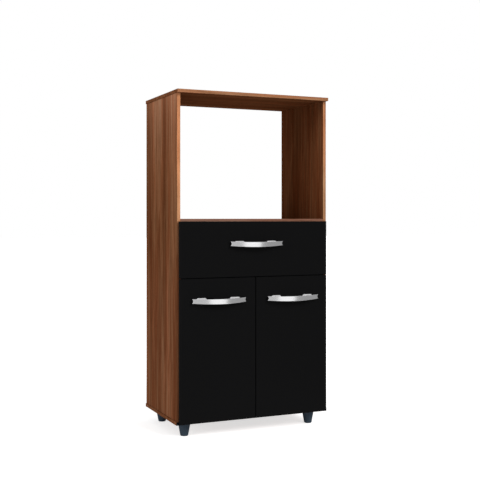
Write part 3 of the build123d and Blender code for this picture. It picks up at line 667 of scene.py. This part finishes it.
@dataclass
class Board:
    """A laminated board: its outer edges softened, and each side in the finish that it shows.

    A corner or a face within flush of an outer plane lies on it, and a face looks to a side when its
    normal's share of that direction is above facing.
    """

    node: str
    face: Finish
    edges: dict[Side, Finish] = field(default_factory=dict)
    arris: float = 0.0004
    arris_steps: int = 2
    flush: float = 1e-5
    facing: float = 0.99

    def build(self) -> bpy.types.Object:
        """Dress the board.

        Returns:
            The dressed board.
        """
        piece = welded_copy(self.node, f"{self.node}_board")
        self.soften(piece)
        self.lay_finishes(piece.data)
        return seated(piece, self.node)

    def soften(self, piece: bpy.types.Object) -> None:
        """Bevel the twelve outer edges: those whose ends share two of the box's six planes.

        Args:
            piece: the board.
        """
        mesh = piece.data
        places = values_of(mesh.vertices, "co", 3)
        ends = values_of(mesh.edges, "vertices", 2, int)
        low, high = np.abs(places - places.min(0)) < self.flush, np.abs(places - places.max(0)) < self.flush
        shared = (low[ends].all(1) | high[ends].all(1)).sum(1)
        weight = mesh.attributes.new("bevel_weight_edge", "FLOAT", "EDGE")
        weight.data.foreach_set("value", (shared >= 2).astype(np.float32))
        bevel = piece.modifiers.new("arris", "BEVEL")
        bevel.width = self.arris
        bevel.segments = self.arris_steps
        bevel.limit_method = "WEIGHT"
        bevel.use_clamp_overlap = False

    def lay_finishes(self, mesh: bpy.types.Mesh) -> None:
        """Give the outermost faces that look to each banded side that side's finish.

        Args:
            mesh: the board's mesh.
        """
        mesh.materials.append(self.face.material())
        normals, centres = values_of(mesh.polygons, "normal", 3), values_of(mesh.polygons, "center", 3)
        low, high = centres.min(0), centres.max(0)
        chosen = np.zeros(len(centres), np.int32)
        for number, (side, finish) in enumerate(self.edges.items(), 1):
            mesh.materials.append(finish.material())
            direction = np.array(side.value)
            limit = (high if direction.sum() > 0 else -low) @ np.abs(direction)
            outermost = np.abs(centres @ direction - limit) < self.flush
            chosen[outermost & (normals @ direction > self.facing)] = number
        mesh.polygons.foreach_set("material_index", chosen)
        mesh.update()


@dataclass
class Carcass:
    """The walnut boards and the hardboard of the cabinet and its drawer, and the three black fronts."""

    hardboard_arris: float = 0.0002

    def boards(self) -> list[Board]:
        """The boards with their finishes.

        Returns:
            One Board each.
        """
        bare = PARTICLE_BOARD
        # The top's underside takes the painted-shade walnut
        top = {Side.FRONT: BAND_TOP, Side.BOTTOM: SHADED_WALNUT_ACROSS, Side.BACK: bare}
        upright = {Side.BACK: bare, Side.TOP: bare}
        # Black front edges on the boards behind the fronts: painted shade for what shows through the gaps
        shaded_gap_edges = {Side.FRONT: BLACK_LAMINATE, Side.BACK: bare}
        drawer = {Side.BOTTOM: bare, Side.BACK: bare}
        return [
            Board("top_panel", WALNUT_ACROSS, top),
            # Each side's inner face takes the painted-shade walnut, and its front edge the painted shade
            # beside the fronts
            Board("left_side", WALNUT_UP, {**upright, Side.FRONT: BAND_LEFT, Side.RIGHT: SHADED_WALNUT_UP}),
            Board("right_side", WALNUT_UP, {**upright, Side.FRONT: BAND_RIGHT, Side.LEFT: SHADED_WALNUT_UP}),
            Board("niche_shelf", WALNUT_ACROSS, {Side.FRONT: BAND_SHELF, Side.BACK: bare}),
            Board("bottom_panel", WALNUT_ACROSS, shaded_gap_edges),
            Board("front_rail", WALNUT_ACROSS, shaded_gap_edges),
            Board("inner_shelf", WALNUT_ACROSS, {Side.BACK: bare}),
            Board("drawer_left_side", WALNUT_BACK, drawer),
            Board("drawer_right_side", WALNUT_BACK, drawer),
            Board("drawer_back", WALNUT_ACROSS, {Side.BOTTOM: bare}),
            Board("back_panel", HARDBOARD, arris=self.hardboard_arris),
            Board("drawer_bottom", HARDBOARD, arris=self.hardboard_arris),
            Board("drawer_front", BLACK_LAMINATE),
            Board("left_door", BLACK_LAMINATE),
            Board("right_door", BLACK_LAMINATE),
        ]

    def build(self) -> None:
        """Dress every board."""
        for board in self.boards():
            board.build()


@dataclass
class BowHandle:
    """A bowed ribbon with fishtail ends, on two posts that narrow towards it.

    Its outer face stands off the front by reach in the middle and by end_reach at its ends, and its upper
    and lower edges lie above and below the middle line by the sizes named top and bottom. Each post has its
    two upper corners cut, and narrows at its sides and, by post_narrowing, at its top.
    """

    node: str
    length: float = 0.208
    reach: float = 0.028
    end_reach: float = 0.012
    thickness: float = 0.004
    end_top: float = 0.0092
    end_bottom: float = 0.0062
    middle_top: float = 0.0070
    middle_bottom: float = 0.0108
    notch: float = 0.004
    edge_round: float = 0.0009
    hole_spacing: float = 0.128
    post_width: float = 0.041
    post_tip_width: float = 0.026
    post_top: float = 0.0104
    post_bottom: float = 0.0065
    post_cut: float = 0.005
    post_tip_cut: float = 0.0025
    post_narrowing: float = 0.006
    post_low_round: float = 0.0012
    post_top_round: float = 0.0016
    steps_along: int = 64
    steps_corner: int = 4
    steps_up: int = 12
    steps_post: int = 8
    sharp_angle: float = 40.0

    def place(self) -> np.ndarray:
        """Where the handle's middle is, on the front's outer face.

        Returns:
            x, y and z.
        """
        low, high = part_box(self.node)
        return np.array([(low.x + high.x) / 2, high.y, high.z - self.post_top])

    def bow_depth(self, x: np.ndarray) -> np.ndarray:
        """How far the outer face stands off the front at x: a circle's arc through the ends and the middle.

        Args:
            x: distances from the middle.

        Returns:
            The depths.
        """
        half, rise = self.length / 2, self.reach - self.end_reach
        radius = (half**2 + rise**2) / (2 * rise)
        return self.reach - radius + np.sqrt(radius**2 - x**2)

    def ribbon_section(self) -> np.ndarray:
        """A rounded rectangle's loop: core points, and the directions that the rounding stands off them.

        Each corner has one core point and directions (cos a, sin a) for a quarter turn of a, and each of
        the two long sides has core points up its height.

        Returns:
            Rows of (depth, height, depth direction, height direction), in order round the loop.
        """
        inner = self.thickness / 2 - self.edge_round
        inset = (self.middle_top + self.middle_bottom) / 2 - self.edge_round
        turn = np.linspace(0.0, np.pi / 2, self.steps_corner + 1)
        climb = np.linspace(-inset, inset, self.steps_up + 1)[1:-1]
        rows = [side_by_side(side * inner, climb, side, 0.0) for side in (-1, 1)]
        for quarter, (depth, up) in enumerate(((1, 1), (-1, 1), (-1, -1), (1, -1))):
            angle = turn + quarter * np.pi / 2
            rows.append(side_by_side(depth * inner, up * inset, np.cos(angle), np.sin(angle)))
        return self.sorted_loop(np.concatenate(rows))

    def sorted_loop(self, rows: np.ndarray) -> np.ndarray:
        """The loop's rows in order of their angle round the section, with its height squeezed to its width.

        Args:
            rows: rows of core point and direction.

        Returns:
            The same rows in order.
        """
        across, up = (rows[:, :2] + self.edge_round * rows[:, 2:]).T
        height = self.middle_top + self.middle_bottom
        return rows[np.argsort(np.arctan2(up * self.thickness / height, across))]

    def ribbon(self) -> Grid:
        """The ribbon: the section carried along x, closed at both ends, then bent.

        Each end's rounding is core + r (cos a, sin a) for a from 0 to a quarter turn, and past it a flat
        end draws the loop together across the thickness.

        Returns:
            Its corners, faces and finish.
        """
        loop = self.ribbon_section()
        half = self.length / 2
        turn = np.linspace(0.0, np.pi / 2, self.steps_corner + 1)
        body = np.linspace(self.edge_round - half, half - self.edge_round, self.steps_along + 1)[1:-1]
        end = half - self.edge_round + self.edge_round * np.sin(turn)
        x = np.concatenate([[-half], -end[::-1], body, end, [half]])
        grow = np.concatenate([[0.0], np.cos(turn)[::-1], np.ones(len(body)), np.cos(turn), [0.0]])
        thick = np.concatenate([[0.0], np.ones(len(x) - 2), [0.0]])
        depth = thick[:, None] * loop[:, 0] + self.edge_round * grow[:, None] * loop[:, 2]
        up = loop[:, 1] + self.edge_round * grow[:, None] * loop[:, 3]
        corners = self.bent(x[:, None], depth, up) + self.place()
        return corners, grid_faces(len(x), len(loop)), CHROME_LOOK

    def bent(self, x: np.ndarray, depth: np.ndarray, up: np.ndarray) -> np.ndarray:
        """Bow the straight ribbon, taper its height and draw in its ends.

        The height h in -1..1 goes to the middle of the top and bottom arcs plus h times half their
        distance, and x shrinks by notch / half * (1 - h^2).

        Args:
            x: places along the ribbon.
            depth: places through its thickness, from its middle.
            up: places up its height, from its middle.

        Returns:
            Corners, one row each, from the handle's middle on the front's outer face.
        """
        half = self.length / 2
        share = up / ((self.middle_top + self.middle_bottom) / 2)
        bend = (x / half) ** 2
        top = self.middle_top + (self.end_top - self.middle_top) * bend
        bottom = -self.middle_bottom + (self.middle_bottom - self.end_bottom) * bend
        height = (top + bottom) / 2 + share * (top - bottom) / 2
        drawn = x * (1 - self.notch / half * (1 - share**2))
        off = self.bow_depth(drawn) - self.thickness / 2 + depth
        return side_by_side(drawn, -off, height).reshape(-1, 3)

    def post(self, side: int) -> Grid:
        """A post: its foot's outline drawn towards its tip's outline, from the front to inside the ribbon.

        At a share s of its reach a point at x stands s times the depth of the ribbon's middle at that x off
        the front, so that the tip is bowed as the ribbon is. Its first and last outlines are points, which
        close it.

        Args:
            side: -1 for the left post and 1 for the right one.

        Returns:
            Its corners, faces and finish.
        """
        drop = self.post_narrowing
        foot = self.post_outline(self.post_width / 2, self.post_top, self.post_cut)
        tip = self.post_outline(self.post_tip_width / 2, self.post_top - drop, self.post_tip_cut)
        share = np.concatenate([[0.0], np.linspace(0.0, 1.0, self.steps_post + 1), [1.0]])
        outline = foot + (tip - foot) * share[:, None, None]
        outline[[0, -1]] = 0.0, (self.post_top - self.post_bottom - drop / 2) / 2
        x = outline[..., 0] + side * self.hole_spacing / 2
        off = share[:, None] * (self.bow_depth(x) - self.thickness / 2)
        corners = side_by_side(x, -off, outline[..., 1]).reshape(-1, 3) + self.place()
        return corners, grid_faces(len(share), len(foot)), SATIN_SILVER

    def post_outline(self, half_width: float, top: float, cut: float) -> np.ndarray:
        """A rectangle with its two upper corners cut and every corner softened.

        Args:
            half_width: half the width.
            top: the upper edge's height.
            cut: how much the upper corners are cut.

        Returns:
            Rows of (x, z).
        """
        low = -self.post_bottom
        corners = [
            (half_width, low), (half_width, top - cut), (half_width - cut, top),
            (cut - half_width, top), (-half_width, top - cut), (-half_width, low),
        ]
        rounds = [self.post_low_round, *[self.post_top_round] * 4, self.post_low_round]
        return rounded(corners, rounds, self.steps_corner)

    def build(self) -> bpy.types.Object:
        """Build and dress the handle.

        Returns:
            The dressed handle.
        """
        grids = [self.ribbon(), self.post(-1), self.post(1)]
        return seated(finished(f"{self.node}_bow", grids, self.sharp_angle), self.node)


@dataclass
class TaperedFoot:
    """A hollow moulded foot that narrows to the floor.

    Its bore rises to the ledge, and its rim is the upright band below its top.
    """

    node: str
    bottom_radius: float = 0.0139
    top_radius: float = 0.0228
    bore_radius: float = 0.0055
    height: float = 0.051
    ledge: float = 0.039
    rim: float = 0.004
    bottom_round: float = 0.003
    edge_round: float = 0.0006
    steps_round: int = 6
    steps_around: int = 72
    sharp_angle: float = 40.0

    def profile(self) -> np.ndarray:
        """Half the foot's section, from the middle of its ledge down the bore, out, and up to its top.

        Returns:
            Rows of (radius, height).
        """
        corners = [
            (0.0, self.ledge), (self.bore_radius, self.ledge), (self.bore_radius, 0.0),
            (self.bottom_radius, 0.0), (self.top_radius, self.height - self.rim),
            (self.top_radius, self.height), (0.0, self.height),
        ]
        edge = self.edge_round
        return rounded(corners, [0, 0, edge, self.bottom_round, edge, edge, 0], self.steps_round)

    def build(self) -> bpy.types.Object:
        """Build and dress the foot.

        Returns:
            The dressed foot.
        """
        low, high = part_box(self.node)
        centre = ((low.x + high.x) / 2, (low.y + high.y) / 2, low.z)
        corners, faces = turned(self.profile(), centre, self.steps_around)
        grids = [(corners, faces, FOOT_PLASTIC)]
        return seated(finished(f"{self.node}_moulding", grids, self.sharp_angle), self.node)


@dataclass
class Fittings:
    """The fasteners, caps, hinges and runners, with their round faces shaded smooth."""

    finishes: dict[str, Finish] = field(default_factory=lambda: {
        "zinc_plated_steel": ZINC_PLATE, "die_cast_zinc": DIE_CAST, "white_epoxy_steel": WHITE_EPOXY,
        "nylon": NYLON, "walnut_caps": CAP_PLASTIC, "beech": BEECH,
    })
    sharp_angle: float = 32.0

    def build(self) -> None:
        """Dress every node whose slot has one of these finishes."""
        for node, slot in SLOT_OF.items():
            if slot not in self.finishes:
                continue
            piece = welded_copy(node, f"{node}_fitting")
            piece.data.shade_smooth()
            piece.data.set_sharp_from_angle(angle=math.radians(self.sharp_angle))
            piece.data.materials.append(self.finishes[slot].material())
            seated(piece, node)


# Studio


def bare_material(name: str) -> tuple[bpy.types.Material, NodeSheet]:
    """A material with no nodes yet.

    Args:
        name: the material's name.

    Returns:
        The material and its node sheet.
    """
    material = bpy.data.materials.new(name)
    sheet = NodeSheet(material)
    sheet.nodes.clear()
    return material, sheet


@dataclass(frozen=True)
class Sun:
    """A soft light that gloss doesn't see: the way it shines, its strength and its angle in degrees."""

    name: str
    way: Place
    strength: float
    width: float

    def build(self) -> None:
        """Add the light to the scene."""
        data = bpy.data.lights.new(self.name, "SUN")
        data.energy = self.strength
        data.angle = math.radians(self.width)
        sun = linked(self.name, data)
        sun.rotation_mode = "QUATERNION"
        sun.rotation_quaternion = Vector(self.way).to_track_quat("-Z", "Y")
        sun.visible_glossy = False


@dataclass(frozen=True)
class Card:
    """A grey card that only gloss sees, so that the handles show light and shade.

    It lies on the floor as a sector of a ring, from start to end in degrees from the front towards the
    right, and stands up along the ring's outer edge.
    """

    name: str
    start: float
    end: float
    grey: float
    distances: tuple[float, float] = (0.7, 20.0)
    heights: tuple[float, float] = (0.004, 14.0)
    steps: int = 25

    def corners(self) -> np.ndarray:
        """Its corners: (r sin a, -r cos a, h) for a from start to end, on three arcs of given r and h.

        Returns:
            One row each.
        """
        near, far = self.distances
        low, high = self.heights
        angle = np.radians(np.linspace(self.start, self.end, self.steps))
        reach, height = np.array([(near, low), (far, low), (far, high)]).T[..., None]
        return side_by_side(reach * np.sin(angle), -reach * np.cos(angle), height).reshape(-1, 3)

    def build(self) -> None:
        """Add the card to the scene."""
        mesh = bpy.data.meshes.new(self.name)
        mesh.from_pydata(self.corners().tolist(), [], grid_faces(3, self.steps, closed=False).tolist())
        material, sheet = bare_material(self.name)
        glow = sheet.add("ShaderNodeEmission", {"Color": (self.grey, self.grey, self.grey, 1.0)})
        sheet.add("ShaderNodeOutputMaterial", {"Surface": glow.outputs[0]})
        mesh.materials.append(material)
        card = linked(self.name, mesh)
        card.visible_camera = False
        card.visible_diffuse = False
        card.visible_shadow = False
        card.visible_transmission = False


@dataclass
class Studio:
    """A pale floor, soft light and a camera at the photograph's angle.

    The floor's lift is how much it glows for the camera, and its shine is how much it glows for gloss.
    """

    camera_place: Place = (-1.3386, -3.0714, 0.7796)
    camera_turn: float = -23.74
    camera_sight: float = 200.0
    lens: float = 66.165
    sensor_width: float = 36.0
    shift_down: float = -0.0466
    world_strength: float = 0.46
    floor_size: float = 60.0
    floor_grey: float = 0.86
    floor_lift: float = 0.66
    floor_shine: float = 0.25
    suns: tuple[Sun, ...] = (
        Sun("right_sun", (-0.34, 0.76, -0.55), 1.8, 25.0),
        Sun("left_sun", (0.978, 0.208, -0.33), 0.65, 20.0),
    )
    cards: tuple[Card, ...] = (Card("left_card", -34.0, 5.3, 0.50), Card("right_card", 28.0, 100.0, 0.31))

    def floor(self) -> None:
        """Lay a pale floor that keeps the object's shadow."""
        half = self.floor_size / 2
        corners = [(-half, -half, 0.0), (half, -half, 0.0), (half, half, 0.0), (-half, half, 0.0)]
        mesh = bpy.data.meshes.new("floor")
        mesh.from_pydata(corners, [], [(0, 1, 2, 3)])
        material, sheet = bare_material("pale_floor")
        rays = sheet.add("ShaderNodeLightPath").outputs
        matt = sheet.add("ShaderNodeBsdfDiffuse", {"Color": (*[self.floor_grey] * 3, 1.0)})
        seen = {0: rays["Is Camera Ray"], 1: self.floor_lift}
        lift = sheet.add("ShaderNodeMath", seen, operation="MULTIPLY")
        reflected = {0: rays["Is Glossy Ray"], 1: self.floor_shine, 2: lift.outputs[0]}
        strength = sheet.add("ShaderNodeMath", reflected, operation="MULTIPLY_ADD")
        glow = sheet.add("ShaderNodeEmission", {"Strength": strength.outputs[0]})
        both = sheet.add("ShaderNodeAddShader", {0: matt.outputs[0], 1: glow.outputs[0]})
        sheet.add("ShaderNodeOutputMaterial", {"Surface": both.outputs[0]})
        mesh.materials.append(material)
        linked("floor", mesh)

    def world(self) -> None:
        """Light the object evenly, and show white to the camera, to gloss and through glass."""
        world = bpy.data.worlds.new("studio")
        bpy.context.scene.world = world
        sheet = NodeSheet(world)
        rays = sheet.add("ShaderNodeLightPath").outputs
        seen = rays["Is Camera Ray"]
        for other in ("Is Glossy Ray", "Is Transmission Ray"):
            seen = sheet.add("ShaderNodeMath", {0: seen, 1: rays[other]}, operation="MAXIMUM").outputs[0]
        limits = {"To Min": self.world_strength, "To Max": 1.0}
        level = sheet.add("ShaderNodeMapRange", {"Value": seen, **limits})
        white = {"Color": (1.0, 1.0, 1.0, 1.0), "Strength": level.outputs[0]}
        sheet.feed(sheet.nodes["Background"], white)

    def camera(self) -> None:
        """Stand the camera where the photograph's was."""
        data = bpy.data.cameras.new("camera")
        data.lens = self.lens
        data.sensor_width = self.sensor_width
        data.shift_y = self.shift_down
        data.clip_end = self.camera_sight
        camera = linked("camera", data)
        camera.location = self.camera_place
        camera.rotation_euler = (math.radians(90), 0.0, math.radians(self.camera_turn))
        bpy.context.scene.camera = camera

    def build(self) -> None:
        """Set the whole studio up."""
        bpy.context.scene.view_settings.view_transform = "Standard"
        self.floor()
        self.world()
        for light in (*self.suns, *self.cards):
            light.build()
        self.camera()


def main() -> None:
    """Build every sub-assembly and the studio, in order."""
    logging.basicConfig(level=logging.INFO, format="%(name)s: %(message)s")
    Carcass().build()
    for node in ("drawer_handle", "left_door_handle", "right_door_handle"):
        BowHandle(node).build()
    for node in ("front_left_foot", "front_right_foot", "rear_left_foot", "rear_right_foot"):
        TaperedFoot(node).build()
    Fittings().build()
    Studio().build()


if __name__ == "__main__":
    main()
